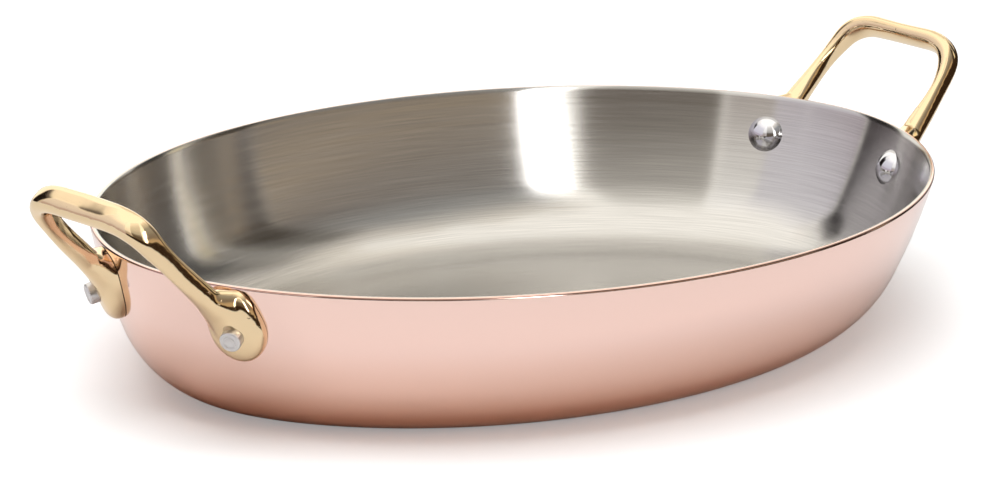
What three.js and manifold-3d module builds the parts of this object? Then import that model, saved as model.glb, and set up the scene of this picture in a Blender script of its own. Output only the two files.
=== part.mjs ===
// Oval copper pan: a copper shell, a steel lining, two cast brass handles and four rivets.
// Millimetres, +Z up. The origin is in the middle of the flat underside and +X runs along
// the long axis of the oval, so one handle is at each end of X.
import * as THREE from 'three';
import { mergeVertices } from 'three/addons/utils/BufferGeometryUtils.js';
import Module from 'manifold-3d';

const wasm = await Module();
wasm.setup();

// Oval outline of the rim, outside the copper
const rimHalfLength = 150;
const rimHalfWidth = 100;
const outlineEase = -1.8; // how far the outline at its diagonals lies outside a true ellipse
const endFlare = 0.06; // share by which the ends lean out more than the average, and the sides less

// Upright profile of the wall, outside the copper
const panHeight = 47;
const rimLean = 13.4; // degrees from upright where the wall meets the rim
const wallRadius = 175; // upright curve of the wall
const cornerRadius = 29; // curve from the wall into the flat underside

// Metal thickness
const copperThickness = 1.2;
const bondGap = 0.1;
const liningThickness = 0.25;

// Rivets
const rivetSpacing = 51; // between the two rivets of one handle, measured across the pan
const rivetDrop = 12.4; // from the rim down to the rivet, on the outer face of the wall
const shankRadius = 2.5;
const headRadius = 5.7;
const headHeight = 3.2;
const tailRadius = 3.05;
const tailHeight = 2.9;
const tailChamfer = 0.5;
const dimpleRadius = 1.5;
const dimpleDepth = 0.3;

// Handle centre line: half of it runs from a root in the flange up round the low and the high
// bend of the leg and the corner of the bail, and ends in the middle of the bar
const rootBelowRivet = 2.2;
const rootOffset = 0.5; // off the wall
const lowBendAboveRivet = 7.4;
const lowBendOffset = 3.4; // off the wall
const lowBendAside = 4.1; // from the rivet's upright, towards the handle's middle
const highBendBeyondRim = 16.5; // outwards from the end of the rim
const highBendAboveRim = 10.6;
const highBendAside = 23.4; // from the handle's middle
const cornerBeyondRim = 24.5;
const cornerAboveRim = 20.9;
const cornerAside = 18.8;
const cornerCut = 9.3; // length of the bar's centre line that each corner rounds off
const barBow = 0.6; // how far the bar's middle lies nearer to the pan than its corners
const rootShare = 0.6; // share of the lowest stretch that the low bend rounds off

// Handle sections, as half their width in the plane of the bail and half their depth across it
const rootHalfWidth = 5.8;
const rootHalfDepth = 4.1;
const lowBendHalfWidth = 3.4;
const lowBendHalfDepth = 3.3;
const highBendHalfWidth = 1.9;
const highBendHalfDepth = 3.2;
const cornerHalfWidth = 3;
const cornerHalfDepth = 4.1;
const barHalfWidth = 2.7;
const barHalfDepth = 4.3;
const sectionRoundness = 2.6; // 2 is an ellipse, and higher is squarer

// Handle flange: a thick drop shape round its rivet, tilted towards the handle's middle
const flangeHalfWidth = 8.1;
const flangeBelowRivet = 10.1;
const flangeAboveRivet = 11.9;
const flangeAside = 0.3; // how far it lies from its rivet, towards the handle's middle
const flangeTopRoundness = 3.2; // outline of the upper half, where 2 is an ellipse
const flangeTaper = 0.1; // share of its width that the upper half loses towards its tip
const flangeTilt = 17; // degrees
const flangeThickness = 4.7;
const flangeEdgeRoundness = 2.8;
const flangeSink = 2; // how far behind the wall's face the dome starts, before its back is cut
const legBlendShare = 0.25; // share of half the bail at which the flange's flanks run out
const flangeTopFlat = 0.005; // share of its thickness that its dome lacks in the middle

// Clearances
const seatGap = 0.3; // between a piece and what it rests on
const holeGap = 0.3; // round a rivet's shank
const tailGap = 0.4; // round a rivet's tail in its spot face

// Steps along the curved surfaces
const outlineSteps = 64;
const wallSteps = 4;
const cornerSteps = 6;
const sectionSteps = 18; // round the bail, and round a flange too
const flangeLayers = 4;
const bailSteps = 24;
const roundSteps = 20;

const degrees = Math.PI / 180;
const wallThickness = copperThickness + bondGap + liningThickness;
const lean = rimLean * degrees;

// Where the wall's curve hands over to the corner's curve, as an angle from upright
const cornerAngle = Math.asin(
  (panHeight - cornerRadius + wallRadius * Math.sin(lean)) / (wallRadius - cornerRadius)
);

// Inset from the rim and height of the outer face where it leans by this angle
function profilePoint(angle) {
  const wallAngle = Math.min(angle, cornerAngle);
  let inset = wallRadius * (Math.cos(lean) - Math.cos(wallAngle));
  let height = panHeight - wallRadius * (Math.sin(wallAngle) - Math.sin(lean));
  if (angle > cornerAngle) {
    inset += cornerRadius * (Math.cos(cornerAngle) - Math.cos(angle));
    height -= cornerRadius * (Math.sin(angle) - Math.sin(cornerAngle));
  }
  return { inset, height };
}

// Point of the surface that lies this deep inside the outer face. The oval is drawn by the
// distance from the centre to its tangent line, so that an inset is a true parallel curve.
function surfacePoint(turn, angle, depth) {
  const { inset, height } = profilePoint(angle);
  const c = Math.cos(turn);
  const s = Math.sin(turn);
  const reach = Math.hypot(rimHalfLength * c, rimHalfWidth * s);
  const tangentDistance = reach
    + outlineEase * (1 - Math.cos(4 * turn)) / 2
    - inset * (1 + endFlare * Math.cos(2 * turn))
    - depth * Math.cos(angle);
  const along = (rimHalfWidth ** 2 - rimHalfLength ** 2) * s * c / reach
    + 2 * outlineEase * Math.sin(4 * turn)
    + 2 * endFlare * inset * Math.sin(2 * turn);
  return new THREE.Vector3(
    tangentDistance * c - along * s,
    tangentDistance * s + along * c,
    height + depth * Math.sin(angle)
  );
}

// Lean angles from the top of a surface at this depth down to the flat of the base
function profileAngles(depth, rise = 0) {
  const top = Math.asin((wallRadius * Math.sin(lean) - rise) / (wallRadius - depth));
  const angles = [];
  for (let i = 0; i < wallSteps; i++) {
    angles.push(THREE.MathUtils.lerp(top, cornerAngle, i / wallSteps));
  }
  for (let i = 0; i <= cornerSteps; i++) {
    angles.push(THREE.MathUtils.lerp(cornerAngle, Math.PI / 2, i / cornerSteps));
  }
  return angles;
}

function bowlRings(depth, rise) {
  return profileAngles(depth, rise).map((angle) => {
    const ring = [];
    for (let i = 0; i < outlineSteps; i++) {
      ring.push(surfacePoint(2 * Math.PI * i / outlineSteps, angle, depth));
    }
    return ring;
  });
}

// Closed surface through rings of points, each turning the same way about the line through
// their middles, with a fan over the first ring and one over the last
function skinRings(rings) {
  const positions = [];
  const index = [];
  const count = rings[0].length;
  for (const ring of rings) {
    for (const point of ring) positions.push(point.x, point.y, point.z);
  }
  for (const ring of [rings[0], rings[rings.length - 1]]) {
    const middle = new THREE.Vector3();
    for (const point of ring) middle.addScaledVector(point, 1 / count);
    positions.push(middle.x, middle.y, middle.z);
  }
  const firstMiddle = rings.length * count;
  for (let i = 0; i < count; i++) {
    const next = (i + 1) % count;
    index.push(firstMiddle, next, i);
    for (let j = 0; j < rings.length - 1; j++) {
      const low = j * count;
      const high = low + count;
      index.push(low + i, low + next, high + next);
      index.push(low + i, high + next, high + i);
    }
    const last = (rings.length - 1) * count;
    index.push(firstMiddle + 1, last + i, last + next);
  }
  const geometry = new THREE.BufferGeometry();
  geometry.setAttribute('position', new THREE.Float32BufferAttribute(positions, 3));
  geometry.setIndex(index);
  return geometry;
}

// Metal between two depths: up the outer face, over the rim and down the inner face
function shellGeometry(outerDepth, innerDepth) {
  const up = bowlRings(outerDepth).reverse();
  const down = bowlRings(innerDepth);
  return skinRings([...up, ...down]);
}

// Everything inside the surface at this depth, filled up to a little above the rim
function filledBowl(depth, rise) {
  return skinRings(bowlRings(depth, rise).reverse());
}

function toSolid(source, matrix) {
  let geometry = source.clone();
  geometry.deleteAttribute('normal');
  geometry.deleteAttribute('uv');
  geometry = mergeVertices(geometry, 1e-4);
  if (matrix) geometry.applyMatrix4(matrix);
  return new wasm.Manifold(new wasm.Mesh({
    numProp: 3,
    vertProperties: new Float32Array(geometry.attributes.position.array),
    triVerts: new Uint32Array(geometry.index.array),
  }));
}

function toGeometry(solid) {
  const mesh = solid.getMesh();
  const geometry = new THREE.BufferGeometry();
  geometry.setAttribute('position', new THREE.BufferAttribute(mesh.vertProperties, 3));
  geometry.setIndex(new THREE.BufferAttribute(mesh.triVerts, 1));
  geometry.computeVertexNormals();
  return geometry;
}

// Lean of the outer face at a height above the corner's curve
const rivetLean = Math.asin(Math.sin(lean) + rivetDrop / wallRadius);

// Turn of the oval at which the outer face at the rivets' height is this far from the X axis
function turnAtWidth(width) {
  let low = 0;
  let high = Math.PI / 2;
  for (let i = 0; i < 40; i++) {
    const middle = (low + high) / 2;
    if (surfacePoint(middle, rivetLean, 0).y < width) low = middle;
    else high = middle;
  }
  return low;
}

// Frame of one rivet of the handle at +X: out along its axis, up the wall and level round it
function rivetFrame(side) {
  const turn = turnAtWidth(rivetSpacing / 2) * side;
  const seat = surfacePoint(turn, rivetLean, 0);
  const out = new THREE.Vector3(
    Math.cos(turn) * Math.cos(rivetLean),
    Math.sin(turn) * Math.cos(rivetLean),
    -Math.sin(rivetLean)
  );
  const up = new THREE.Vector3(
    Math.cos(turn) * Math.sin(rivetLean),
    Math.sin(turn) * Math.sin(rivetLean),
    Math.cos(rivetLean)
  );
  const level = new THREE.Vector3().crossVectors(up, out);
  const matrix = new THREE.Matrix4().makeBasis(level, out, up.clone().negate());
  matrix.setPosition(seat);
  return { seat, out, up, level, matrix };
}

// Round bar along a rivet's axis between two distances from the wall
function pinGeometry(radius, from, to) {
  const geometry = new THREE.CylinderGeometry(radius, radius, to - from, roundSteps);
  geometry.translate(0, (from + to) / 2, 0);
  return geometry;
}

// Domed head inside the pan, shank through the wall and flange, and tail outside the flange
function rivetSolid(frame, wallWithGap) {
  const headSeat = -wallThickness - seatGap / 2;
  const domeTop = headSeat - headHeight;
  const domeRadius = (headRadius ** 2 + headHeight ** 2) / (2 * headHeight);
  const domeSpan = Math.asin(headRadius / domeRadius);
  const dome = [];
  for (let i = 0; i <= 5; i++) {
    const angle = domeSpan * i / 5;
    dome.push(new THREE.Vector2(
      domeRadius * Math.sin(angle),
      domeTop + domeRadius * (1 - Math.cos(angle))
    ));
  }
  dome.push(new THREE.Vector2(0, headSeat));
  const head = toSolid(new THREE.LatheGeometry(dome, roundSteps), frame.matrix);
  const shoulder = flangeThickness + seatGap;
  const end = flangeThickness + tailHeight;
  const body = [
    new THREE.Vector2(0, headSeat - headHeight / 2),
    new THREE.Vector2(shankRadius, headSeat - headHeight / 2),
    new THREE.Vector2(shankRadius, shoulder),
    new THREE.Vector2(tailRadius, shoulder),
    new THREE.Vector2(tailRadius, end - tailChamfer),
    new THREE.Vector2(tailRadius - tailChamfer, end),
    new THREE.Vector2(dimpleRadius, end),
    new THREE.Vector2(dimpleRadius - dimpleDepth, end - dimpleDepth),
    new THREE.Vector2(0, end - dimpleDepth),
  ];
  const pin = toSolid(new THREE.LatheGeometry(body, roundSteps), frame.matrix);
  return head.subtract(wallWithGap).add(pin);
}

// Centre line of half the bail, and how far along it the root, bends, corner and middle are
function halfBailPath(frame) {
  const towardsMiddle = frame.level.clone().negate();
  const root = frame.seat.clone()
    .addScaledVector(frame.up, -rootBelowRivet)
    .addScaledVector(frame.out, rootOffset);
  const lowBend = frame.seat.clone()
    .addScaledVector(frame.up, lowBendAboveRivet)
    .addScaledVector(frame.out, lowBendOffset)
    .addScaledVector(towardsMiddle, lowBendAside);
  const highBend = new THREE.Vector3(
    rimHalfLength + highBendBeyondRim, highBendAside, panHeight + highBendAboveRim);
  const corner = new THREE.Vector3(
    rimHalfLength + cornerBeyondRim, cornerAside, panHeight + cornerAboveRim);
  const middle = new THREE.Vector3(corner.x - barBow, 0, corner.z);
  const bendStart = lowBend.clone().lerp(root, rootShare);
  const legMiddle = lowBend.clone().lerp(highBend, 0.5);
  const cornerStart = highBend.clone().lerp(corner, 0.5);
  const cornerEnd = corner.clone().lerp(middle, cornerCut / corner.distanceTo(middle));
  const path = new THREE.CurvePath();
  path.add(new THREE.LineCurve3(root, bendStart));
  path.add(new THREE.QuadraticBezierCurve3(bendStart, lowBend, legMiddle));
  path.add(new THREE.QuadraticBezierCurve3(legMiddle, highBend, cornerStart));
  path.add(new THREE.QuadraticBezierCurve3(cornerStart, corner, cornerEnd));
  path.add(new THREE.LineCurve3(cornerEnd, middle));
  const ends = path.getCurveLengths();
  const halfway = (i) => (ends[i - 1] + ends[i]) / 2;
  const stations = [0, halfway(1), halfway(2), halfway(3), ends[4]];
  const leg = corner.clone().sub(highBend);
  const planeOut = new THREE.Vector3(leg.z, 0, -leg.x).normalize();
  return { path, planeOut, stations };
}

// Value at a distance along the bail that eases from each station's value to the next one's
function easedBetween(stations, values, distance) {
  let value = values[0];
  for (let i = 1; i < stations.length; i++) {
    const share = THREE.MathUtils.smoothstep(distance, stations[i - 1], stations[i]);
    value += (values[i] - values[i - 1]) * share;
  }
  return value;
}

// Sections of half the bail: broad at the root, slim up the leg, deep along the bar
function bailRings(frame) {
  const { path, planeOut, stations } = halfBailPath(frame);
  const widths = [rootHalfWidth, lowBendHalfWidth, highBendHalfWidth, cornerHalfWidth, barHalfWidth];
  const depths = [rootHalfDepth, lowBendHalfDepth, highBendHalfDepth, cornerHalfDepth, barHalfDepth];
  const power = 2 / sectionRoundness;
  const rings = [];
  for (let j = 0; j <= bailSteps; j++) {
    const share = j / bailSteps;
    const distance = share * path.getLength();
    const centre = path.getPointAt(share);
    const along = path.getTangentAt(share);
    const width = easedBetween(stations, widths, distance);
    const depth = easedBetween(stations, depths, distance);
    const turned = THREE.MathUtils.smoothstep(distance, 0, stations[2]);
    const deep = frame.out.clone().lerp(planeOut, turned);
    deep.addScaledVector(along, -deep.dot(along)).normalize();
    const wide = new THREE.Vector3().crossVectors(deep, along);
    const ring = [];
    for (let i = 0; i < sectionSteps; i++) {
      const angle = 2 * Math.PI * i / sectionSteps;
      const c = Math.cos(angle);
      const s = Math.sin(angle);
      ring.push(centre.clone()
        .addScaledVector(wide, width * Math.sign(c) * Math.abs(c) ** power)
        .addScaledVector(deep, depth * Math.sign(s) * Math.abs(s) ** power));
    }
    rings.push(ring);
  }
  return rings;
}

// Drop-shaped dome of a flange, started inside the wall so that its back can be cut to fit
function flangeRings(frame) {
  const tilt = flangeTilt * degrees;
  const length = frame.up.clone().multiplyScalar(Math.cos(tilt))
    .addScaledVector(frame.level, -Math.sin(tilt));
  const width = frame.level.clone().multiplyScalar(Math.cos(tilt))
    .addScaledVector(frame.up, Math.sin(tilt));
  const rings = [];
  for (let j = -1; j <= flangeLayers; j++) {
    const share = Math.max(j, 0) / flangeLayers * (1 - flangeTopFlat);
    const rise = j < 0 ? -flangeSink : flangeThickness * share;
    const size = (1 - share ** flangeEdgeRoundness) ** (1 / flangeEdgeRoundness);
    const ring = [];
    for (let i = 0; i < sectionSteps; i++) {
      const angle = 2 * Math.PI * i / sectionSteps;
      const c = Math.cos(angle);
      const s = Math.sin(angle);
      const upper = s > 0;
      const power = upper ? 2 / flangeTopRoundness : 1;
      const along = Math.sign(s) * Math.abs(s) ** power;
      const across = Math.sign(c) * Math.abs(c) ** power * (upper ? 1 - flangeTaper * along : 1);
      const reach = upper ? flangeAboveRivet : flangeBelowRivet;
      ring.push(frame.seat.clone()
        .addScaledVector(width, flangeHalfWidth * across * size)
        .addScaledVector(length, reach * along * size)
        .addScaledVector(frame.level, -flangeAside)
        .addScaledVector(frame.out, rise));
    }
    rings.push(ring);
  }
  return rings;
}

// Straight-flanked mass between the outline of a flange and a section of its leg. The point
// of a section that faces the pan is half a turn from the highest point of the flange.
function rootRings(flange, bail) {
  const section = bail[Math.round(legBlendShare * bailSteps)];
  const facingPan = section.map((point, i) => section[(i + sectionSteps / 2) % sectionSteps]);
  return [flange[0], flange[1], facingPan];
}

// The same ring on the other side of the handle's middle
function mirroredRing(ring) {
  return ring.map((point) => new THREE.Vector3(point.x, -point.y, point.z));
}

// Cast handle: the bail with both flanges, its back fitted to the wall and its rivet holes
function handleSolid(frames) {
  const half = bailRings(frames[0]);
  const otherHalf = half.slice(0, -1).reverse().map(mirroredRing);
  const flange = flangeRings(frames[0]);
  let solid = toSolid(skinRings([...half, ...otherHalf]));
  for (const rings of [flange, rootRings(flange, half)]) {
    const otherRings = rings.map((ring) => mirroredRing(ring).reverse());
    solid = solid.add(toSolid(skinRings(rings))).add(toSolid(skinRings(otherRings)));
  }
  solid = solid.subtract(toSolid(filledBowl(-seatGap, seatGap)));
  for (const frame of frames) {
    const hole = pinGeometry(shankRadius + holeGap, -flangeThickness, 3 * flangeThickness);
    const spotFace = pinGeometry(tailRadius + tailGap, flangeThickness, 4 * flangeThickness);
    solid = solid.subtract(toSolid(hole, frame.matrix));
    solid = solid.subtract(toSolid(spotFace, frame.matrix));
  }
  return solid;
}

const copper = new THREE.MeshStandardMaterial({ color: 0xd9a08a, roughness: 0.18, metalness: 1 });
const steel = new THREE.MeshStandardMaterial({ color: 0xb9b6ae, roughness: 0.35, metalness: 1 });
const brass = new THREE.MeshStandardMaterial({ color: 0xe0c080, roughness: 0.12, metalness: 1 });
const rivetSteel = new THREE.MeshStandardMaterial({ color: 0xc4c4c6, roughness: 0.2, metalness: 1 });

function named(name, geometry, material) {
  const mesh = new THREE.Mesh(geometry, material);
  mesh.name = name;
  return mesh;
}

const frames = [rivetFrame(1), rivetFrame(-1)];
const half = new THREE.Matrix4().makeRotationZ(Math.PI);

// The four rivet holes of a shell: two at +X, and the same two turned half round
function drillRivetHoles(solid) {
  const hole = pinGeometry(shankRadius + holeGap, -3 * wallThickness, 3 * wallThickness);
  for (const frame of frames) {
    const turned = half.clone().multiply(frame.matrix);
    solid = solid.subtract(toSolid(hole, frame.matrix)).subtract(toSolid(hole, turned));
  }
  return solid;
}

const pan = new THREE.Group();
const shell = drillRivetHoles(toSolid(shellGeometry(0, copperThickness)));
const lining = drillRivetHoles(toSolid(shellGeometry(copperThickness + bondGap, wallThickness)));
pan.add(named('copper_shell', toGeometry(shell), copper));
pan.add(named('steel_lining', toGeometry(lining), steel));

const wallWithGap = toSolid(filledBowl(-seatGap, seatGap))
  .subtract(toSolid(filledBowl(wallThickness + seatGap / 2, 2 * seatGap)));
const handle = toGeometry(handleSolid(frames));
const rivets = frames.map((frame) => toGeometry(rivetSolid(frame, wallWithGap)));
for (const [side, rivetNames] of [['right', ['back', 'front']], ['left', ['front', 'back']]]) {
  const end = new THREE.Group();
  end.rotation.z = side === 'left' ? Math.PI : 0;
  end.add(named(`handle_${side}`, handle, brass));
  rivetNames.forEach((place, i) => {
    end.add(named(`rivet_${side}_${place}`, rivets[i], rivetSteel));
  });
  pan.add(end);
}

export default pan;
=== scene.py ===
"""Oval copper pan with a brushed steel lining, a cast brass bail handle at each end and four
steel rivets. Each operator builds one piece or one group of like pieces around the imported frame."""
import math

import bmesh
import bpy
import numpy as np
from bpy.props import FloatProperty, FloatVectorProperty, PointerProperty
from mathutils import Matrix, Vector


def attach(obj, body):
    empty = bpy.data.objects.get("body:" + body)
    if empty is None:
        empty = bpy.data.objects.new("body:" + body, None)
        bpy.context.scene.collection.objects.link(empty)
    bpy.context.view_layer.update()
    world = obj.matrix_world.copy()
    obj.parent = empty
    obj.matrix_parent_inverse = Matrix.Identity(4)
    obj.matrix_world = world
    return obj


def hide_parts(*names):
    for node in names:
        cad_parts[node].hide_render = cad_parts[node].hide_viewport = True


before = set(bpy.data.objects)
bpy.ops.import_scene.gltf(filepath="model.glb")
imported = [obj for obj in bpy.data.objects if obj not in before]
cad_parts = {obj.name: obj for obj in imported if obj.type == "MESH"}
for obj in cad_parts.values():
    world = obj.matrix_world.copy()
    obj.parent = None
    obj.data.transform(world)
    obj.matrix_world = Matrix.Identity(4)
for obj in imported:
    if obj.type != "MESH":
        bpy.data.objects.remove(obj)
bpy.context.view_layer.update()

bl_info = {
    "name": "Oval copper pan",
    "version": (1, 0, 0),
    "blender": (4, 5, 0),
    "location": "3D View > Sidebar > Pan",
    "description": "Builds an oval copper pan with brass bail handles and its studio",
    "category": "Object",
}

MM = 0.001
BODY = "root"
# Points round each ring of the bowl
TURNS = 360
# Height that the copper's colour ramp spans
TINT_SPAN = 50 * MM
# Bevel on the inner edge of the lining's brim
BRIM_BEVEL = 0.08 * MM
# Cell of the skin that joins a casting's blocks, and how often it is smoothed
SKIN_CELL = 0.42 * MM
SKIN_SMOOTHING = 18
# Plain ring and dimple pressed into a rivet's upset end: radius and depth in mm
END_MARK = ((1.9, 0), (1.75, 0.12), (1.5, 0.12), (1.35, 0), (0.9, 0), (0.6, 0.1), (0.1, 0.12))


def linear(code):
    """Linear red, green and blue of an sRGB hex colour."""
    values = [int(code[i:i + 2], 16) / 255 for i in (1, 3, 5)]
    return tuple(v / 12.92 if v <= 0.04045 else ((v + 0.055) / 1.055) ** 2.4 for v in values)


def length(name, description, millimetres):
    """Length property, given in millimetres and held in metres."""
    return FloatProperty(name=name, description=description, default=millimetres * MM,
                         precision=5, unit="LENGTH")


def colour(name, description, code):
    """Colour property with an sRGB hex default."""
    return FloatVectorProperty(name=name, description=description, default=linear(code),
                               size=3, min=0, max=1, subtype="COLOR")


def ratio(name, description, value):
    """Plain number property."""
    return FloatProperty(name=name, description=description, default=value, precision=4)


def angle(name, description, degrees):
    """Angle property, given in degrees and held in radians."""
    return FloatProperty(name=name, description=description, default=math.radians(degrees),
                         precision=4, unit="ROTATION")


class BowlSizes(bpy.types.PropertyGroup):
    """Sizes of the copper shell and its lining."""
    half_length: length("Half length", "Rim, outside the copper, along the pan", 150)
    half_width: length("Half width", "Rim, outside the copper, across the pan", 100)
    ease: length("Outline ease", "How far the diagonals lie outside a true ellipse", -1.8)
    flare: ratio("End flare", "Share by which the ends lean out more than the sides", 0.06)
    height: length("Height", "From the flat underside to the rim", 47)
    lean: angle("Rim lean", "Lean of the wall at the rim, from upright", 13.4)
    wall_radius: length("Wall radius", "Upright curve of the wall", 175)
    corner_radius: length("Corner radius", "Curve from the wall into the underside", 29)
    copper: length("Copper thickness", "Thickness of the copper", 1.2)
    wall: length("Wall thickness", "Copper and steel together", 1.55)
    edge: length("Edge rounding", "Rounding of the outer edge of the rim", 1)


class HandleSizes(bpy.types.PropertyGroup):
    """Sizes of the cast bail handles."""
    root_below: length("Root below the rivet", "Start of the leg, down the wall", 2.2)
    root_offset: length("Root offset", "Start of the leg, off the wall", 0.5)
    low_above: length("Low bend above the rivet", "Where the leg turns off the wall", 7.4)
    low_offset: length("Low bend offset", "Off the wall", 3.4)
    low_aside: length("Low bend aside", "Towards the handle's middle", 4.1)
    high_beyond: length("High bend beyond the rim", "Outwards from the end of the rim", 16.5)
    high_above: length("High bend above the rim", "Where the leg turns up the slope", 10.6)
    high_aside: length("High bend aside", "From the handle's middle", 23.4)
    corner_beyond: length("Corner beyond the rim", "Outwards from the end of the rim", 24.5)
    corner_above: length("Corner above the rim", "Corner of the bail", 20.9)
    corner_aside: length("Corner aside", "From the handle's middle", 18.8)
    corner_cut: length("Corner cut", "Length of the bar that each corner rounds off", 9.3)
    bow: length("Bow", "How far the bar's middle lies nearer to the pan", 0.6)
    root_share: ratio("Root share", "Share of the lowest stretch that the low bend rounds", 0.6)
    root_width: length("Root half width", "Level, in the flange", 5.8)
    root_depth: length("Root half depth", "Off the wall, in the flange", 4.1)
    low_width: length("Low bend half width", "In the plane of the bail", 3.4)
    low_depth: length("Low bend half depth", "Across the plane of the bail", 3.3)
    high_width: length("High bend half width", "In the plane of the bail", 1.9)
    high_depth: length("High bend half depth", "Across the plane of the bail", 3.2)
    corner_width: length("Corner half width", "In the plane of the bail", 3)
    corner_depth: length("Corner half depth", "Across the plane of the bail", 4.1)
    bar_width: length("Bar half width", "In the plane of the bail", 2.7)
    bar_depth: length("Bar half depth", "Across the plane of the bail", 4.3)
    roundness: ratio("Section exponent", "2 is an ellipse, and higher is squarer", 2.6)
    flange_width: length("Flange half width", "Level, at the rivet", 8.1)
    flange_below: length("Flange below the rivet", "Down the wall", 10.1)
    flange_above: length("Flange above the rivet", "Up the wall", 11.9)
    flange_aside: length("Flange aside", "Towards the handle's middle", 0.3)
    flange_top: ratio("Flange top exponent", "Outline above the rivet, where 2 is an ellipse", 3.2)
    flange_taper: ratio("Flange taper", "Width that the flange loses towards its tip", 0.1)
    flange_tilt: angle("Flange tilt", "Towards the handle's middle", 17)
    flange_thickness: length("Flange thickness", "From the wall out", 4.7)
    flange_roundness: ratio("Flange exponent", "Squareness of the flange's edge", 2.8)
    blend: ratio("Leg blend", "Share of half the bail where the flange's flanks run out", 0.25)
    seat_gap: length("Seat gap", "Between the flange and the copper", 0.15)


class RivetSizes(bpy.types.PropertyGroup):
    """Sizes of the rivets."""
    spacing: length("Spacing", "Between the two rivets of one handle", 51)
    drop: length("Drop", "From the rim down to the rivet", 12.4)
    head_radius: length("Head radius", "Domed head inside the pan", 5.7)
    head_height: length("Head height", "Domed head inside the pan", 3.2)
    shank_radius: length("Shank radius", "Through the wall and the flange", 2.5)
    tail_radius: length("Tail radius", "Upset end outside the flange", 3.05)
    tail_height: length("Tail height", "Upset end outside the flange", 2.9)
    tail_chamfer: length("Tail chamfer", "Edge of the upset end", 0.5)


class Finishes(bpy.types.PropertyGroup):
    """Colours of the metals and of the studio."""
    copper: colour("Copper", "Polished copper", "#F3D3C8")
    # Painted bounce light: the copper's own light mirrored off the table, painted into the colour so
    # that it deepens towards the base
    copper_painted_bounce_middle: colour("Middle copper painted bounce", "Polished copper half way down", "#F6CEBC")
    copper_painted_bounce_base: colour("Base copper painted bounce", "Polished copper next to the base", "#FAC7AA")
    # A dark hair line on the turn of the rim, put into the copper's colour ramp
    dark_rim_line: colour("Dark rim line", "Dark line on the turn of the rim", "#663426")
    steel: colour("Lining steel", "Brushed stainless steel", "#C8C6C3")
    brass: colour("Brass", "Polished cast brass", "#E8CFA8")
    rivet: colour("Rivet steel", "Polished rivet heads", "#D6D6DA")
    rivet_tail: colour("Rivet tail", "Dull upset rivet ends", "#D0CDCC")
    floor: colour("Floor", "Plain pale floor", "#F2F2F2")


class StudioSizes(bpy.types.PropertyGroup):
    """Where the camera stands."""
    azimuth: angle("Azimuth", "Camera round the pan", -47.3)
    elevation: angle("Elevation", "Camera above the horizon", 15.75)
    roll: angle("Roll", "Camera about its own line of sight", 2.9)
    distance: length("Distance", "Camera from the pan", 1464.65)
    aside: length("Aside", "Camera to its own right", -7.12)
    raised: length("Raised", "Camera upwards in its own frame", 27.66)
    lens: FloatProperty(name="Lens", description="Focal length in mm on a 36 mm sensor",
                        default=180.11, unit="CAMERA")


def superellipse(turn, exponent):
    """Cosine and sine of a turn, pushed out towards the corners of their square."""
    c, s = np.cos(turn), np.sin(turn)
    power = 2 / exponent
    return np.sign(c) * np.abs(c) ** power, np.sign(s) * np.abs(s) ** power


def smoothstep(value, low, high):
    """Share between low and high that starts and ends level."""
    share = np.clip((value - low) / (high - low), 0, 1)
    return share * share * (3 - 2 * share)


def unit(vectors):
    """Vectors brought to length one."""
    return vectors / np.linalg.norm(vectors, axis=-1, keepdims=True)


class Bowl:
    """The pan's outer face and the faces parallel to it."""

    def __init__(self, sizes):
        self.s = sizes
        rise = sizes.height - sizes.corner_radius + sizes.wall_radius * math.sin(sizes.lean)
        self.corner = math.asin(rise / (sizes.wall_radius - sizes.corner_radius))

    def top(self, depth, drop=0.0):
        """Lean at which the face at this depth comes to the rim, or to a drop below it."""
        s = self.s
        return math.asin((s.wall_radius * math.sin(s.lean) + drop) / (s.wall_radius - depth))

    def points(self, turn, lean, depth=0.0):
        """Points of the face at this depth, for arrays of turns, where it has this lean."""
        s = self.s
        wall = min(lean, self.corner)
        inset = s.wall_radius * (math.cos(s.lean) - math.cos(wall))
        z = s.height - s.wall_radius * (math.sin(wall) - math.sin(s.lean))
        if lean > self.corner:
            inset += s.corner_radius * (math.cos(self.corner) - math.cos(lean))
            z -= s.corner_radius * (math.sin(lean) - math.sin(self.corner))
        c, d = np.cos(turn), np.sin(turn)
        reach = np.hypot(s.half_length * c, s.half_width * d)
        tangent = (reach + s.ease * (1 - np.cos(4 * turn)) / 2
                   - inset * (1 + s.flare * np.cos(2 * turn)) - depth * math.cos(lean))
        along = ((s.half_width ** 2 - s.half_length ** 2) * d * c / reach
                 + 2 * s.ease * np.sin(4 * turn) + 2 * s.flare * inset * np.sin(2 * turn))
        height = np.full_like(c, z + depth * math.sin(lean))
        return np.stack([tangent * c - along * d, tangent * d + along * c, height], -1)

    def rings(self, turns, depth, top, steps=(22, 26)):
        """Rings down one face from its top to the flat of the base."""
        wall_steps, corner_steps = steps
        leans = list(np.linspace(top, self.corner, wall_steps, endpoint=False))
        leans += list(np.linspace(self.corner, math.pi / 2, corner_steps))
        return [self.points(turns, lean, depth) for lean in leans]

    def rivet_frame(self, spacing, drop, side):
        """Seat, outward line, line up the wall and level line of a rivet of the handle at +X."""
        lean = math.asin(math.sin(self.s.lean) + drop / self.s.wall_radius)
        low, high = 0.0, math.pi / 2
        # Halves the turn until the seat is half a spacing from the middle of the end
        for _ in range(40):
            middle = (low + high) / 2
            if self.points(np.array([middle]), lean)[0, 1] < spacing / 2:
                low = middle
            else:
                high = middle
        turn = low * side
        seat = self.points(np.array([turn]), lean)[0]
        flat = np.array([math.cos(turn), math.sin(turn), 0])
        out = flat * math.cos(lean) - np.array([0, 0, math.sin(lean)])
        up = flat * math.sin(lean) + np.array([0, 0, math.cos(lean)])
        return seat, out, up, np.cross(up, out)


def shrunk(ring, shares):
    """Copies of a flat ring drawn in towards its middle."""
    middle = ring.mean(axis=0)
    return [middle + (ring - middle) * share for share in shares]


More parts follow.
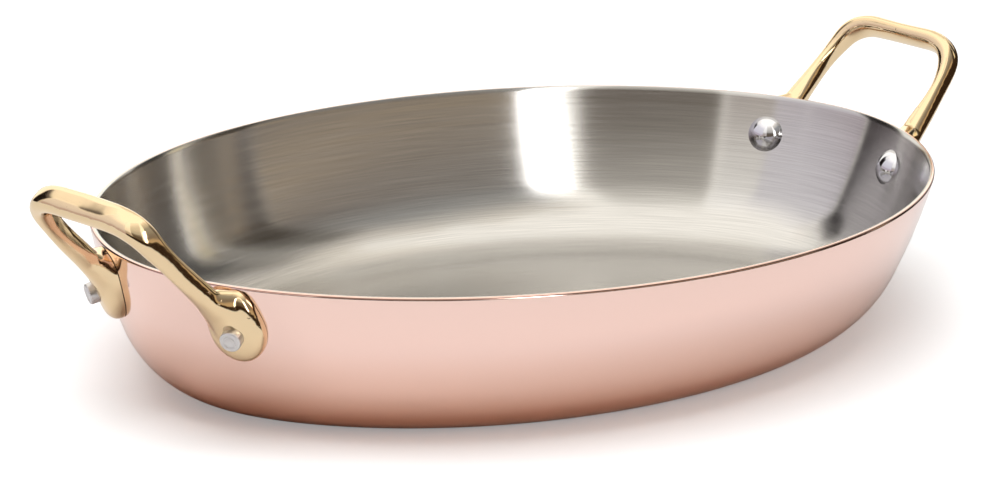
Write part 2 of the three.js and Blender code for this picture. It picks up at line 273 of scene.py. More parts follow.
def mesh_from_rings(name, rings, with_map=False):
    """Closed mesh through rings of points, with a fan at each end. The map runs along the
    rings and across them in metres, so that a brushed finish can follow it."""
    rings = np.array(rings)
    count, points = rings.shape[:2]
    ends = [rings[0].mean(axis=0), rings[-1].mean(axis=0)]
    vertices = np.vstack([rings.reshape(-1, 3), ends])
    first, last = count * points, count * points + 1
    faces = []
    for i in range(points):
        n = (i + 1) % points
        faces.append((first, n, i))
        for j in range(count - 1):
            low, high = j * points, (j + 1) * points
            faces.append((low + i, low + n, high + n, high + i))
        faces.append((last, (count - 1) * points + i, (count - 1) * points + n))
    mesh = bpy.data.meshes.new(name)
    mesh.from_pydata(vertices.tolist(), [], faces)
    mesh.polygons.foreach_set("use_smooth", [True] * len(mesh.polygons))
    if with_map:
        widest = rings[np.argmax(np.ptp(rings[:, :, 0], axis=1))]
        steps = np.linalg.norm(np.roll(widest, -1, axis=0) - widest, axis=1)
        along = np.concatenate([[0], np.cumsum(steps)])
        gaps = np.linalg.norm(np.diff(rings, axis=0), axis=2).mean(axis=1)
        across = np.concatenate([[0], np.cumsum(gaps)])
        layer = mesh.uv_layers.new(name="brush")
        data = []
        for i in range(points):
            data += [(along[i], 0), (along[i + 1], 0), (along[i], 0)]
            for j in range(count - 1):
                data += [(along[i], across[j]), (along[i + 1], across[j]),
                         (along[i + 1], across[j + 1]), (along[i], across[j + 1])]
            data += [(along[i], across[-1]), (along[i], across[-1]), (along[i + 1], across[-1])]
        layer.data.foreach_set("uv", np.array(data).ravel())
    mesh.update()
    return mesh


def new_object(name, mesh, material=None):
    """Object with this mesh and material, linked to the scene."""
    piece = bpy.data.objects.new(name, mesh)
    bpy.context.scene.collection.objects.link(piece)
    if material:
        mesh.materials.append(material)
    return piece


def finished(piece, nodes):
    """Rides the piece on the body, in place of these nodes."""
    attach(piece, BODY)
    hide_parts(*nodes)


def applied(piece):
    """Takes the piece's modifiers into its mesh."""
    graph = bpy.context.evaluated_depsgraph_get()
    mesh = bpy.data.meshes.new_from_object(piece.evaluated_get(graph))
    piece.modifiers.clear()
    old = piece.data
    piece.data = mesh
    bpy.data.meshes.remove(old)
    return mesh


def add_node(tree, kind, sockets=None, **settings):
    """Adds a node with its settings, and sets or links its sockets."""
    node = tree.nodes.new(kind)
    for key, value in settings.items():
        setattr(node, key, value)
    for key, value in (sockets or {}).items():
        if isinstance(value, bpy.types.NodeSocket):
            tree.links.new(value, node.inputs[key])
        else:
            node.inputs[key].default_value = value
    return node


def fill_ramp(ramp, stops):
    """Gives a colour ramp these places and linear colours."""
    for number, (place, value) in enumerate(stops):
        if number < len(stops) - 1 and number >= len(ramp.elements) - 1:
            element = ramp.elements.new(place)
        else:
            element = ramp.elements[number]
        element.position = place
        element.color = (*value, 1)


def metal(name, colour_value, roughness):
    """Material with a bare metal shader, its node tree and that shader."""
    material = bpy.data.materials.new(name)
    material.use_nodes = True
    tree = material.node_tree
    shader = tree.nodes["Principled BSDF"]
    shader.inputs["Base Color"].default_value = (*colour_value, 1)
    shader.inputs["Metallic"].default_value = 1
    shader.inputs["Roughness"].default_value = roughness
    return material, tree, shader


def brushed_coordinates(tree, along, across):
    """Map coordinates stretched so that one noise cell is this long and this wide in metres."""
    uv = add_node(tree, "ShaderNodeUVMap", uv_map="brush")
    return add_node(tree, "ShaderNodeMapping", {
        "Vector": uv.outputs["UV"], "Scale": (1 / along, 1 / across, 1)}).outputs["Vector"]


def polished_copper(finishes):
    """Spun copper, polished on a mop."""
    # The eye gets a pink mirror with very faint lines round the pan. Its colour is painted deeper
    # towards the base, a painted reflection of the copper's own light mirrored off the table, and
    # the colour is dark in a hair line on the turn of the rim.
    material, tree, shader = metal("polished_copper", finishes.copper, 0.09)
    place = add_node(tree, "ShaderNodeTexCoord").outputs["Object"]
    height = add_node(tree, "ShaderNodeSeparateXYZ", {"Vector": place}).outputs["Z"]
    share = add_node(tree, "ShaderNodeMath", {0: height, 1: 1 / TINT_SPAN}, operation="MULTIPLY")
    copper_ramp_with_painted_bounce = add_node(tree, "ShaderNodeValToRGB", {"Fac": share.outputs[0]})
    # The stops up to 30 mm are painted bounce light, which deepens the copper towards the base
    stops = ((5, finishes.copper_painted_bounce_base), (15, finishes.copper_painted_bounce_middle), (30, finishes.copper),
             (46.5, finishes.copper), (46.56, finishes.dark_rim_line), (46.82, finishes.dark_rim_line),
             (46.88, finishes.copper))
    fill_ramp(copper_ramp_with_painted_bounce.color_ramp, [(level * MM / TINT_SPAN, tint) for level, tint in stops])
    tree.links.new(copper_ramp_with_painted_bounce.outputs["Color"], shader.inputs["Base Color"])
    lines = add_node(tree, "ShaderNodeTexNoise", {
        "Vector": brushed_coordinates(tree, 60 * MM, 0.6 * MM),
        "Scale": 1, "Detail": 3, "Roughness": 0.6})
    bump = add_node(tree, "ShaderNodeBump", {
        "Height": lines.outputs["Fac"], "Strength": 0.03, "Distance": 0.05 * MM})
    tree.links.new(bump.outputs["Normal"], shader.inputs["Normal"])
    mottling = add_node(tree, "ShaderNodeTexNoise", {
        "Vector": brushed_coordinates(tree, 40 * MM, 12 * MM),
        "Scale": 1, "Detail": 2, "Roughness": 0.5})
    rough = add_node(tree, "ShaderNodeMapRange", {
        "Value": mottling.outputs["Fac"], "To Min": 0.06, "To Max": 0.12})
    tree.links.new(rough.outputs["Result"], shader.inputs["Roughness"])
    return material


def brushed_steel(finishes):
    """Stainless sheet, brushed round the pan."""
    # The eye gets light that spreads up and down the wall, and fine level lines. Real lines are
    # about 0.05 mm apart, and are drawn 0.3 mm apart to show.
    material, tree, shader = metal("brushed_stainless_steel", finishes.steel, 0.3)
    shader.inputs["Anisotropic"].default_value = 0.92
    shader.inputs["Anisotropic Rotation"].default_value = 0.25
    tangent = add_node(tree, "ShaderNodeTangent", direction_type="UV_MAP", uv_map="brush")
    tree.links.new(tangent.outputs["Tangent"], shader.inputs["Tangent"])
    lines = add_node(tree, "ShaderNodeTexNoise", {
        "Vector": brushed_coordinates(tree, 30 * MM, 0.3 * MM),
        "Scale": 1, "Detail": 2, "Roughness": 0.5})
    bands = add_node(tree, "ShaderNodeTexNoise", {
        "Vector": brushed_coordinates(tree, 70 * MM, 2.2 * MM),
        "Scale": 1, "Detail": 2, "Roughness": 0.5})
    shade = add_node(tree, "ShaderNodeMapRange", {
        "Value": lines.outputs["Fac"], "From Min": 0.3, "From Max": 0.7,
        "To Min": 0.9, "To Max": 1.09})
    tint = add_node(tree, "ShaderNodeMix", {
        "Factor": 1.0, 6: (*finishes.steel, 1), 7: shade.outputs["Result"]},
        data_type="RGBA", blend_type="MULTIPLY")
    tree.links.new(tint.outputs[2], shader.inputs["Base Color"])
    rough = add_node(tree, "ShaderNodeMapRange", {
        "Value": bands.outputs["Fac"], "From Min": 0.3, "From Max": 0.7,
        "To Min": 0.17, "To Max": 0.21})
    tree.links.new(rough.outputs["Result"], shader.inputs["Roughness"])
    return material


def cast_brass(finishes):
    """Cast brass, polished by hand."""
    # The eye gets a pale gold mirror whose reflections waver a little, and a few casting pits.
    material, tree, shader = metal("polished_cast_brass", finishes.brass, 0.09)
    place = add_node(tree, "ShaderNodeTexCoord").outputs["Object"]
    waves = add_node(tree, "ShaderNodeTexNoise", {
        "Vector": place, "Scale": 1 / (7 * MM), "Detail": 1, "Roughness": 0.4})
    bump = add_node(tree, "ShaderNodeBump", {
        "Height": waves.outputs["Fac"], "Strength": 0.2, "Distance": 0.4 * MM})
    pits = add_node(tree, "ShaderNodeTexNoise", {
        "Vector": place, "Scale": 1 / (1.6 * MM), "Detail": 1, "Roughness": 0.5})
    deep = add_node(tree, "ShaderNodeMapRange", {
        "Value": pits.outputs["Fac"], "From Min": 0.2, "From Max": 0.27})
    pitted = add_node(tree, "ShaderNodeBump", {
        "Height": deep.outputs["Result"], "Strength": 0.5, "Distance": 0.1 * MM,
        "Normal": bump.outputs["Normal"]})
    tree.links.new(pitted.outputs["Normal"], shader.inputs["Normal"])
    return material


def polished_rivet_steel(finishes):
    """Stainless rivet head, pressed and polished."""
    # The eye gets a clean, bright mirror.
    return metal("polished_rivet_steel", finishes.rivet, 0.05)[0]


def upset_rivet_steel(finishes):
    """Stainless rivet end, squeezed in a press."""
    # The eye gets a dull pale grey with a fine grain from the tool.
    material, tree, shader = metal("upset_rivet_steel", finishes.rivet_tail, 0.38)
    place = add_node(tree, "ShaderNodeTexCoord").outputs["Object"]
    grain = add_node(tree, "ShaderNodeTexNoise", {
        "Vector": place, "Scale": 1 / (0.7 * MM), "Detail": 3, "Roughness": 0.6})
    bump = add_node(tree, "ShaderNodeBump", {
        "Height": grain.outputs["Fac"], "Strength": 0.35, "Distance": 0.08 * MM})
    tree.links.new(bump.outputs["Normal"], shader.inputs["Normal"])
    return material


def edge_rings(bowl, turns, radius, depths):
    """Rings over the outer edge of the rim, rounded by this radius, then level."""
    rings = []
    for depth in depths:
        inside = max(radius - depth, 0)
        drop = radius - math.sqrt(max(radius ** 2 - inside ** 2, 0))
        rings.append(bowl.points(turns, bowl.top(depth, drop), depth))
    return rings


class PAN_OT_copper_shell(bpy.types.Operator):
    """Builds the polished copper shell with its rounded rim"""
    bl_idname = "pan.copper_shell"
    bl_label = "Copper shell"

    def execute(self, context):
        sizes = context.scene.bowl_sizes
        bowl = Bowl(sizes)
        # Starts at the back, so that the seam of the map is out of the camera's sight
        turns = math.pi / 2 + np.linspace(0, 2 * math.pi, TURNS, endpoint=False)
        outer = bowl.rings(turns, 0, bowl.top(0, sizes.edge))[::-1]
        inner = bowl.rings(turns, sizes.copper, bowl.top(sizes.copper))
        edge = sizes.edge
        rounding = [edge * (1 - math.cos(a)) for a in np.linspace(0, math.pi / 2, 9)[1:]]
        rings = shrunk(outer[0], (0.05, 0.5, 0.9, 0.98)) + outer
        rings += edge_rings(bowl, turns, edge, rounding + [0.85 * sizes.copper])
        rings += inner + shrunk(inner[-1], (0.98, 0.9, 0.5, 0.05))
        mesh = mesh_from_rings("copper_shell_polished", rings, with_map=True)
        piece = new_object("copper_shell_polished", mesh, polished_copper(context.scene.finishes))
        finished(piece, ["copper_shell"])
        return {"FINISHED"}


class PAN_OT_steel_lining(bpy.types.Operator):
    """Builds the brushed steel lining bonded inside the copper"""
    bl_idname = "pan.steel_lining"
    bl_label = "Steel lining"

    def execute(self, context):
        sizes = context.scene.bowl_sizes
        bowl = Bowl(sizes)
        # Starts at the front, where the inside faces away from the camera
        turns = -math.pi / 2 + np.linspace(0, 2 * math.pi, TURNS, endpoint=False)
        bond = 0.02 * MM
        outer = bowl.rings(turns, sizes.copper + bond, bowl.top(sizes.copper + bond))[::-1]
        inner = bowl.rings(turns, sizes.wall, bowl.top(sizes.wall, BRIM_BEVEL))
        brim = bowl.points(turns, bowl.top(sizes.wall - BRIM_BEVEL), sizes.wall - BRIM_BEVEL)
        rings = shrunk(outer[0], (0.05, 0.5, 0.98)) + outer + [brim] + inner
        rings += shrunk(inner[-1], (0.99, 0.96, 0.9, 0.8, 0.65, 0.5, 0.35, 0.2, 0.1, 0.04))
        mesh = mesh_from_rings("steel_lining_brushed", rings, with_map=True)
        piece = new_object("steel_lining_brushed", mesh, brushed_steel(context.scene.finishes))
        finished(piece, ["steel_lining"])
        return {"FINISHED"}


def bail_path(s, bowl, rivet):
    """Dense points of half the bail's centre line, the distance to each, and the distances of
    its root, its two bends, its corner and its middle."""
    seat, out, up, level = rivet
    root = seat - up * s.root_below + out * s.root_offset
    low = seat + up * s.low_above + out * s.low_offset - level * s.low_aside
    rim = np.array([bowl.s.half_length, 0, bowl.s.height])
    high = rim + (s.high_beyond, s.high_aside, s.high_above)
    corner = rim + (s.corner_beyond, s.corner_aside, s.corner_above)
    middle = corner * (1, 0, 1) - (s.bow, 0, 0)
    start = low + (root - low) * s.root_share
    corner_end = corner + unit(middle - corner) * s.corner_cut
    halves = (low + high) / 2, (high + corner) / 2
    stretches = ((root, (root + start) / 2, start), (start, low, halves[0]),
                 (halves[0], high, halves[1]), (halves[1], corner, corner_end),
                 (corner_end, (corner_end + middle) / 2, middle))
    steps = 59
    t = np.linspace(0, 1, steps + 1)[1:, None]
    points = [root[None]] + [a * (1 - t) ** 2 + 2 * b * t * (1 - t) + c * t * t
                             for a, b, c in stretches]
    points = np.vstack(points)
    walked = np.concatenate([[0], np.cumsum(np.linalg.norm(np.diff(points, axis=0), axis=1))])
    ends = walked[steps::steps]
    stations = [0, *((ends[:3] + ends[1:4]) / 2), ends[4]]
    leg = corner - high
    return points, walked, stations, unit(np.array([leg[2], 0, -leg[0]]))


def eased_between(distance, stations, values):
    """Value that eases from each station's value to the next one's."""
    total = np.full_like(distance, values[0])
    for i in range(1, len(stations)):
        total += (values[i] - values[i - 1]) * smoothstep(distance, stations[i - 1], stations[i])
    return total


def bail_rings(s, bowl, rivet, steps=110, section=48):
    """Sections of half the bail: broad at the root, slim up the leg, deep along the bar."""
    points, walked, stations, plane_out = bail_path(s, bowl, rivet)
    distance = np.linspace(0, walked[-1], steps)

    def at(places):
        return np.stack([np.interp(places, walked, points[:, k]) for k in range(3)], -1)

    nearby = 0.4 * MM
    along = unit(at(distance + nearby) - at(distance - nearby))
    width = eased_between(distance, stations, (
        s.root_width, s.low_width, s.high_width, s.corner_width, s.bar_width))
    depth = eased_between(distance, stations, (
        s.root_depth, s.low_depth, s.high_depth, s.corner_depth, s.bar_depth))
    turned = smoothstep(distance, 0, stations[2])[:, None]
    deep = rivet[1] * (1 - turned) + plane_out * turned
    deep = unit(deep - along * np.sum(deep * along, axis=-1, keepdims=True))
    wide = np.cross(deep, along)
    across, over = superellipse(np.linspace(0, 2 * math.pi, section, endpoint=False), s.roundness)
    return (at(distance)[:, None] + (width[:, None] * across)[..., None] * wide[:, None]
            + (depth[:, None] * over)[..., None] * deep[:, None])


def flange_rings(s, rivet, layers=14, section=48):
    """Drop-shaped dome of a flange, started behind the wall's face."""
    seat, out, up, level = rivet
    lengthwise = up * math.cos(s.flange_tilt) - level * math.sin(s.flange_tilt)
    crosswise = level * math.cos(s.flange_tilt) + up * math.sin(s.flange_tilt)
    turn = np.linspace(0, 2 * math.pi, section, endpoint=False)
    upper = np.sin(turn) > 0
    across, high = np.where(upper, superellipse(turn, s.flange_top), superellipse(turn, 2))
    across = across * np.where(upper, 1 - s.flange_taper * high, 1)
    reach = np.where(upper, s.flange_above, s.flange_below)
    rings = []
    behind_wall = 2 * MM
    # The last layer stops just short of the top, where it would shrink to a point
    shares = [0] + list(np.sin(np.linspace(0, math.pi / 2, layers)) * 0.999)
    for number, share in enumerate(shares):
        rise = s.flange_thickness * share if number else -behind_wall
        size = (1 - share ** s.flange_roundness) ** (1 / s.flange_roundness)
        rings.append(seat + (s.flange_width * across * size)[:, None] * crosswise
                     + (reach * high * size)[:, None] * lengthwise
                     - s.flange_aside * level + rise * out)
    return np.array(rings)


def root_rings(s, flange, bail):
    """Straight-flanked mass between the outline of a flange and a section of its leg."""
    # The point of a section that faces the pan is half a turn from the flange's highest point
    section = bail[round(s.blend * (len(bail) - 1))]
    facing_pan = np.roll(section, -(len(section) // 2), axis=0)
    return np.array([flange[0], flange[1], facing_pan])


class PAN_OT_handles(bpy.types.Operator):
    """Builds both cast bail handles: bail and flanges in one piece, fitted to the wall"""
    bl_idname = "pan.handles"
    bl_label = "Handles"

    def execute(self, context):
        scene = context.scene
        s, rivets = scene.handle_sizes, scene.rivet_sizes
        bowl = Bowl(scene.bowl_sizes)
        rivet = bowl.rivet_frame(rivets.spacing, rivets.drop, 1)
        mirror = np.array((1, -1, 1))
        half = bail_rings(s, bowl, rivet)
        flange = flange_rings(s, rivet)
        blocks = [mesh_from_rings("bail", np.concatenate([half, half[:-1][::-1] * mirror]))]
        for rings in (flange, root_rings(s, flange, half)):
            blocks += [mesh_from_rings("root", rings),
                       mesh_from_rings("root", rings[:, ::-1] * mirror)]
        handle = self.cast(blocks)
        self.fit_to_wall(handle, bowl, s.seat_gap)
        handle.data.polygons.foreach_set("use_smooth", [True] * len(handle.data.polygons))
        handle.data.set_sharp_from_angle(angle=math.radians(50))
        brass = cast_brass(scene.finishes)
        handle.data.materials.clear()
        handle.data.materials.append(brass)
        handle.name = "handle_right_cast"
        other = new_object("handle_left_cast", handle.data.copy())
        other.data.transform(Matrix.Rotation(math.pi, 4, "Z"))
        for piece, node in ((handle, "handle_right"), (other, "handle_left")):
            finished(piece, [node])
        return {"FINISHED"}

    @staticmethod
    def cast(blocks):
        """One skin round the overlapping blocks, with the soft inner corners of a casting."""
        joined = bmesh.new()
        for block in blocks:
            joined.from_mesh(block)
            bpy.data.meshes.remove(block)
        mesh = bpy.data.meshes.new("handle")
        joined.to_mesh(mesh)
        joined.free()
        piece = new_object("handle", mesh)
        skin = piece.modifiers.new("skin", "REMESH")
        skin.mode = "VOXEL"
        skin.voxel_size = SKIN_CELL
        soft = piece.modifiers.new("soft", "SMOOTH")
        soft.factor = 0.5
        soft.iterations = SKIN_SMOOTHING
        applied(piece)
        return piece

    @staticmethod
    def fit_to_wall(handle, bowl, gap):
        """Cuts the back of the handle to the curve of the wall, a gap clear of it."""
        turns = np.linspace(0, 2 * math.pi, TURNS, endpoint=False)
        rings = bowl.rings(turns, -gap, bowl.top(-gap, -gap))[::-1]
        cutter = new_object("wall_cutter", mesh_from_rings("wall_cutter", rings))
        cut = handle.modifiers.new("cut", "BOOLEAN")
        cut.operation = "DIFFERENCE"
        cut.solver = "EXACT"
        cut.object = cutter
        applied(handle)
        cutter_mesh = cutter.data
        bpy.data.objects.remove(cutter)
        bpy.data.meshes.remove(cutter_mesh)


class PAN_OT_rivets(bpy.types.Operator):
    """Builds the four rivets: bright domed heads inside and dull upset ends outside"""
    bl_idname = "pan.rivets"
    bl_label = "Rivets"

    def execute(self, context):
        scene = context.scene
        s = scene.rivet_sizes
        bowl = Bowl(scene.bowl_sizes)
        bright = polished_rivet_steel(scene.finishes)
        dull = upset_rivet_steel(scene.finishes)
        profile, split = self.profile(s, scene.bowl_sizes, scene.handle_sizes)
        for side, place in ((1, "back"), (-1, "front")):
            seat, out, up, level = bowl.rivet_frame(s.spacing, s.drop, side)
            turn = np.linspace(0, 2 * math.pi, 64, endpoint=False)[:, None]
            circle = np.cos(turn) * level + np.sin(turn) * up
            rings = [seat + radius * circle + out * height for radius, height in profile]
            mesh = mesh_from_rings("rivet", rings)
            mesh.materials.append(bright)
            mesh.materials.append(dull)
            middles = np.array([tuple(face.center) for face in mesh.polygons])
            outside = (middles - seat) @ out > split
            mesh.polygons.foreach_set("material_index", outside.astype(int))
            mesh.set_sharp_from_angle(angle=math.radians(35))
            other = {"back": "front", "front": "back"}[place]
            right = new_object(f"rivet_right_{place}_upset", mesh)
            left = new_object(f"rivet_left_{other}_upset", mesh.copy())
            left.data.transform(Matrix.Rotation(math.pi, 4, "Z"))
            finished(right, [f"rivet_right_{place}"])
            finished(left, [f"rivet_left_{other}"])
        return {"FINISHED"}

    @staticmethod
    def profile(s, bowl, handle):
        """Radius and height along the rivet's axis, and the height where the dull end starts."""
        head_sunk, tail_sunk = 0.1 * MM, 0.6 * MM
        seat = -bowl.wall + head_sunk
        sphere = (s.head_radius ** 2 + s.head_height ** 2) / (2 * s.head_height)
        top = seat - s.head_height
        span = math.asin(s.head_radius / sphere)
        points = [(sphere * math.sin(a), top + sphere * (1 - math.cos(a)))
                  for a in np.linspace(0.03, span, 18)]
        shoulder = handle.flange_thickness - tail_sunk
        end = handle.flange_thickness + s.tail_height
        points += [(s.shank_radius, seat), (s.shank_radius, shoulder), (s.tail_radius, shoulder)]
        for a in np.linspace(0, math.pi / 2, 6):
            points.append((s.tail_radius - s.tail_chamfer * (1 - math.cos(a)),
                           end - s.tail_chamfer * (1 - math.sin(a))))
        points += [(radius * MM, end - depth * MM) for radius, depth in END_MARK]
        return points, seat


# Strength of the grey cards, radius of the outermost one, how much nearer each next one stands,
# so that it covers the ones before it, and the points along each side of a card
CARD_GLOW = 1.6
CARD_RADIUS = 2.2
CARD_STEP = 0.01
CARD_GRID = 24
# Name, two azimuths and width of the soft sides in degrees, and the colour at each elevation
CARDS = (
    ("camera_side", -150, -103, 4,
     ((-12, "#564B40"), (18, "#584E44"), (25, "#6E6861"), (32, "#AAA69F"), (50, "#C4C0B8"),
      (66, "#E8E4DC"))),
    ("camera_side_left", -176, -146, 7,
     ((-12, "#94887F"), (16, "#A0958E"), (23, "#B4AFAA"), (30, "#DEDBD6"), (66, "#FAF7F2"))),
    ("right_card", -93, -33, 3,
     ((-12, "#AA9880"), (11, "#A8967C"), (17, "#726A63"), (44, "#8A8A88"), (52, "#B4B0A8"),
      (64, "#DED6CA"))),
    ("far_right_card", -36, -16.5, 3,
     ((-12, "#382C22"), (30, "#3A342C"), (42, "#5A5650"), (50, "#CCC4B8"), (58, "#E6DED2"))),
    ("yellow_card", -17, -11.5, 1.2,
     ((-12, "#F4E2B8"), (13, "#E2D2A8"), (21, "#4C443A"), (41, "#504C46"), (50, "#E8E0D2"))),
    ("blue_card", -11.5, 4, 1.2,
     ((-12, "#202429"), (26, "#2E2E2E"), (38, "#7A756E"), (50, "#E8E0D2"))),
    ("brown_card", 3, 32, 4, ((-12, "#B0A49A"), (14, "#B4ACA2"), (34, "#BCB6AC"), (54, "#F0E8DA"))),
    ("left_card", 119, 190, 3,
     ((-12, "#A09296"), (12, "#AAA0A6"), (18, "#C2BEC4"), (40, "#CECBCE"), (62, "#F6F2EE"))),
    ("back_left_card", 84, 122, 6,
     ((-12, "#1A1212"), (30, "#181414"), (37, "#5A5658"), (44, "#E0DCD6"), (58, "#F6F0E8"))),
    ("far_side_card", 12, 64, 14,
     ((4, "#FCF8F0"), (20, "#FAF6EC"), (36, "#CEC8BC"), (52, "#D0CABE"), (66, "#F6F1E8"))),
    ("dark_room", -178, 34, 10, ((-24, "#2C2118"), (3, "#2C2118"), (7, "#3A2E22"))),
)


def card(name, start, end, soft, stops, radius):
    """Curved card round the pan that only bright metal sees, between two azimuths in degrees,
    fading out over some degrees at both sides. The stops give its colour at each elevation."""
    grid, cells = CARD_GRID, CARD_GRID - 1
    turns = np.radians(np.linspace(start, end, grid))
    low, high = stops[0][0], stops[-1][0]
    levels = np.radians(np.linspace(low, high, grid))
    vertices = [(radius * math.cos(level) * math.cos(turn),
                 radius * math.cos(level) * math.sin(turn),
                 radius * math.sin(level)) for turn in turns for level in levels]
    faces = [(i * grid + j, (i + 1) * grid + j, (i + 1) * grid + j + 1, i * grid + j + 1)
             for i in range(cells) for j in range(cells)]
    mesh = bpy.data.meshes.new(name)
    mesh.from_pydata(vertices, [], faces)
    layer = mesh.uv_layers.new(name="card")
    places = [(vertex // grid / cells, vertex % grid / cells) for face in faces for vertex in face]
    layer.data.foreach_set("uv", np.array(places).ravel())
    material = bpy.data.materials.new(name)
    material.use_nodes = True
    tree = material.node_tree
    tree.nodes.clear()
    uv = add_node(tree, "ShaderNodeUVMap", uv_map="card").outputs["UV"]
    place = add_node(tree, "ShaderNodeSeparateXYZ", {"Vector": uv}).outputs
    ramp = add_node(tree, "ShaderNodeValToRGB", {"Fac": place["Y"]})
    ramp.color_ramp.interpolation = "EASE"
    fill_ramp(ramp.color_ramp, [((level - low) / (high - low), linear(code))
                                for level, code in stops])
    glow = add_node(tree, "ShaderNodeEmission", {
        "Color": ramp.outputs["Color"], "Strength": CARD_GLOW})
    share = soft / (end - start)
    rising = add_node(tree, "ShaderNodeMapRange", {"Value": place["X"], "From Max": share},
                      interpolation_type="SMOOTHSTEP")
    falling = add_node(tree, "ShaderNodeMapRange", {
        "Value": place["X"], "From Min": 1, "From Max": 1 - share}, interpolation_type="SMOOTHSTEP")
    cover = add_node(tree, "ShaderNodeMath", {
        0: rising.outputs["Result"], 1: falling.outputs["Result"]}, operation="MULTIPLY")
    clear = add_node(tree, "ShaderNodeBsdfTransparent")
    surface = add_node(tree, "ShaderNodeMixShader", {
        0: cover.outputs[0], 1: clear.outputs["BSDF"], 2: glow.outputs["Emission"]})
    add_node(tree, "ShaderNodeOutputMaterial", {"Surface": surface.outputs["Shader"]})
    piece = new_object(name, mesh, material)
    piece.visible_camera = False
    piece.visible_diffuse = False
    piece.visible_shadow = False
    return piece


def softbox(name, place, aim, size, glow):
    """Rectangular lamp of this brightness, aimed at a point."""
    lamp = bpy.data.lights.new(name, "AREA")
    lamp.shape = "RECTANGLE"
    lamp.size, lamp.size_y = size
    lamp.energy = glow * math.pi * size[0] * size[1]
    piece = bpy.data.objects.new(name, lamp)
    piece.location = place
    piece.rotation_euler = (Vector(place) - Vector(aim)).to_track_quat("Z", "Y").to_euler()
    bpy.context.scene.collection.objects.link(piece)
    return piece


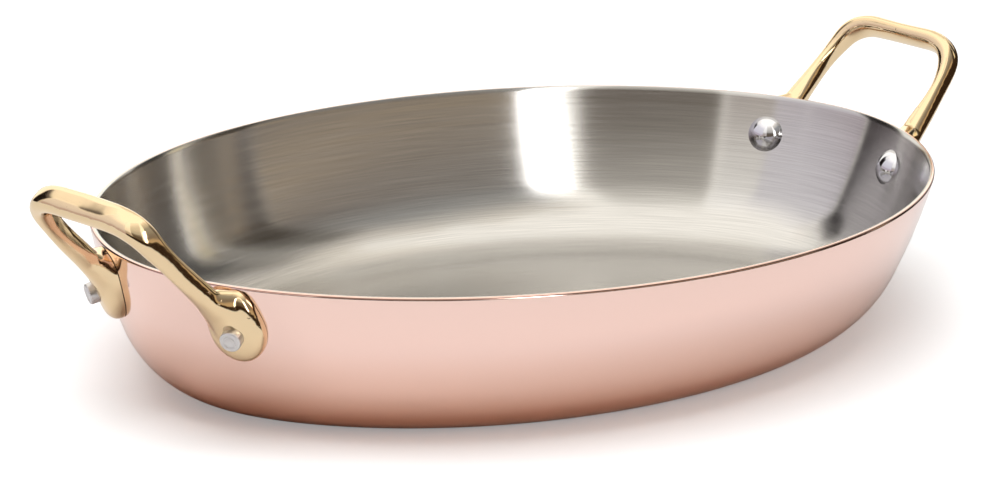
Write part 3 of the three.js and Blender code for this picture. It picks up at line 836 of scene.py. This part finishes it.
class PAN_OT_studio(bpy.types.Operator):
    """Builds the floor, the lamps, the grey cards and the camera"""
    bl_idname = "pan.studio"
    bl_label = "Studio"

    def execute(self, context):
        scene = context.scene
        scene.view_settings.view_transform = "Standard"
        self.floor(scene.finishes, scene.studio_sizes.azimuth)
        self.surroundings(scene)
        overhead = softbox("overhead_softbox", place=(-0.5, 0, 2.6), aim=(0, 0, 0),
                           size=(2.6, 2.6), glow=3.1)
        overhead.visible_glossy = False
        softbox("strip_softbox", place=(-0.135, -1.5, 0.62), aim=(0, 0.1, 0.1),
                size=(0.26, 0.94), glow=4.4)
        for number, (name, start, end, soft, stops) in enumerate(CARDS):
            card(name, start, end, soft, stops, CARD_RADIUS - CARD_STEP * number)
        self.camera(scene)
        return {"FINISHED"}

    @staticmethod
    def floor(finishes, azimuth):
        """Plain pale paper on a table that ends a little in front of the pan and to its right,
        so that bright metal sees the dark room past its edges. What the camera sees of it is
        lifted to white."""
        mesh = bpy.data.meshes.new("studio_floor")
        front, back, left, right = 0.42, 3, 1.6, 0.28
        corners = [(-left, -front, 0), (right, -front, 0), (right, back, 0), (-left, back, 0)]
        mesh.from_pydata(corners, [], [(0, 1, 2, 3)])
        # The eye gets plain white that keeps the pan's soft shadow
        material = bpy.data.materials.new("white_paper")
        material.use_nodes = True
        tree = material.node_tree
        tree.nodes.clear()
        paper = add_node(tree, "ShaderNodeBsdfDiffuse", {"Color": (*finishes.floor, 1)})
        path = add_node(tree, "ShaderNodeLightPath")
        white_lift = 0.3
        lift = add_node(tree, "ShaderNodeMath", {
            0: path.outputs["Is Camera Ray"], 1: white_lift}, operation="MULTIPLY")
        glow = add_node(tree, "ShaderNodeEmission", {"Strength": lift.outputs[0]})
        both = add_node(tree, "ShaderNodeAddShader", {
            0: paper.outputs["BSDF"], 1: glow.outputs["Emission"]})
        add_node(tree, "ShaderNodeOutputMaterial", {"Surface": both.outputs["Shader"]})
        floor = new_object("studio_floor", mesh, material)
        floor.rotation_euler.z = azimuth
        floor.location.z = -0.02 * MM

    @staticmethod
    def surroundings(scene):
        """Soft light that is brightest overhead. The camera sees it as plain white."""
        world = bpy.data.worlds.new("soft_studio")
        scene.world = world
        world.use_nodes = True
        tree = world.node_tree
        tree.nodes.clear()
        direction = add_node(tree, "ShaderNodeTexCoord").outputs["Generated"]
        height = add_node(tree, "ShaderNodeSeparateXYZ", {"Vector": direction}).outputs["Z"]
        lit = add_node(tree, "ShaderNodeMapRange", {
            "Value": height, "From Min": 0.5, "From Max": 0.95, "To Min": 0.0, "To Max": 0.6})
        mirrored = add_node(tree, "ShaderNodeMapRange", {
            "Value": height, "From Min": 0.3, "From Max": 0.75, "To Min": 1.36, "To Max": 1.56},
            interpolation_type="SMOOTHSTEP")
        path = add_node(tree, "ShaderNodeLightPath")
        glossy = add_node(tree, "ShaderNodeMix", {
            "Factor": path.outputs["Is Glossy Ray"], "A": lit.outputs["Result"],
            "B": mirrored.outputs["Result"]})
        seen = add_node(tree, "ShaderNodeMath", {
            0: path.outputs["Is Camera Ray"], 1: path.outputs["Is Transmission Ray"]},
            operation="MAXIMUM")
        strength = add_node(tree, "ShaderNodeMix", {
            "Factor": seen.outputs[0], "A": glossy.outputs[0], "B": 1.0})
        shade = add_node(tree, "ShaderNodeMix", {
            "Factor": path.outputs["Is Glossy Ray"], 6: (1, 1, 1, 1), 7: (*linear("#FFFBF3"), 1)},
            data_type="RGBA")
        light = add_node(tree, "ShaderNodeBackground", {
            "Color": shade.outputs[2], "Strength": strength.outputs[0]})
        add_node(tree, "ShaderNodeOutputWorld", {"Surface": light.outputs["Background"]})

    @staticmethod
    def camera(scene):
        """Camera at the photograph's viewing angle."""
        s = scene.studio_sizes
        data = bpy.data.cameras.new("camera")
        data.sensor_fit = "HORIZONTAL"
        data.sensor_width = 36
        data.lens = s.lens
        data.clip_start, data.clip_end = 0.05, 50
        a, e, r = s.azimuth, s.elevation, s.roll
        back = Vector((math.sin(a) * math.cos(e), -math.cos(a) * math.cos(e), math.sin(e)))
        right = Vector((math.cos(a), math.sin(a), 0))
        upward = back.cross(right)
        rolled = right * math.cos(r) + upward * math.sin(r)
        raised = upward * math.cos(r) - right * math.sin(r)
        piece = bpy.data.objects.new("camera", data)
        scene.collection.objects.link(piece)
        turned = Matrix((rolled, raised, back)).transposed()
        place = rolled * s.aside + raised * s.raised + back * s.distance
        piece.matrix_world = Matrix.Translation(place) @ turned.to_4x4()
        scene.camera = piece


OPERATORS = (PAN_OT_copper_shell, PAN_OT_steel_lining, PAN_OT_handles, PAN_OT_rivets,
             PAN_OT_studio)
GROUPS = {"bowl_sizes": BowlSizes, "handle_sizes": HandleSizes, "rivet_sizes": RivetSizes,
          "finishes": Finishes, "studio_sizes": StudioSizes}


class PAN_PT_sidebar(bpy.types.Panel):
    """Lists the pieces of the pan"""
    bl_idname = "PAN_PT_sidebar"
    bl_label = "Oval copper pan"
    bl_space_type = "VIEW_3D"
    bl_region_type = "UI"
    bl_category = "Pan"

    def draw(self, context):
        for operator in OPERATORS:
            self.layout.operator(operator.bl_idname)
        for name, group in GROUPS.items():
            values = getattr(context.scene, name)
            box = self.layout.box()
            for key in group.__annotations__:
                box.prop(values, key)


CLASSES = (*GROUPS.values(), *OPERATORS, PAN_PT_sidebar)


def register():
    for item in CLASSES:
        bpy.utils.register_class(item)
    for name, group in GROUPS.items():
        setattr(bpy.types.Scene, name, PointerProperty(type=group))


def unregister():
    for name in GROUPS:
        delattr(bpy.types.Scene, name)
    for item in reversed(CLASSES):
        bpy.utils.unregister_class(item)


def main():
    register()
    bpy.ops.pan.copper_shell()
    bpy.ops.pan.steel_lining()
    bpy.ops.pan.handles()
    bpy.ops.pan.rivets()
    bpy.ops.pan.studio()


if __name__ == "__main__":
    main()
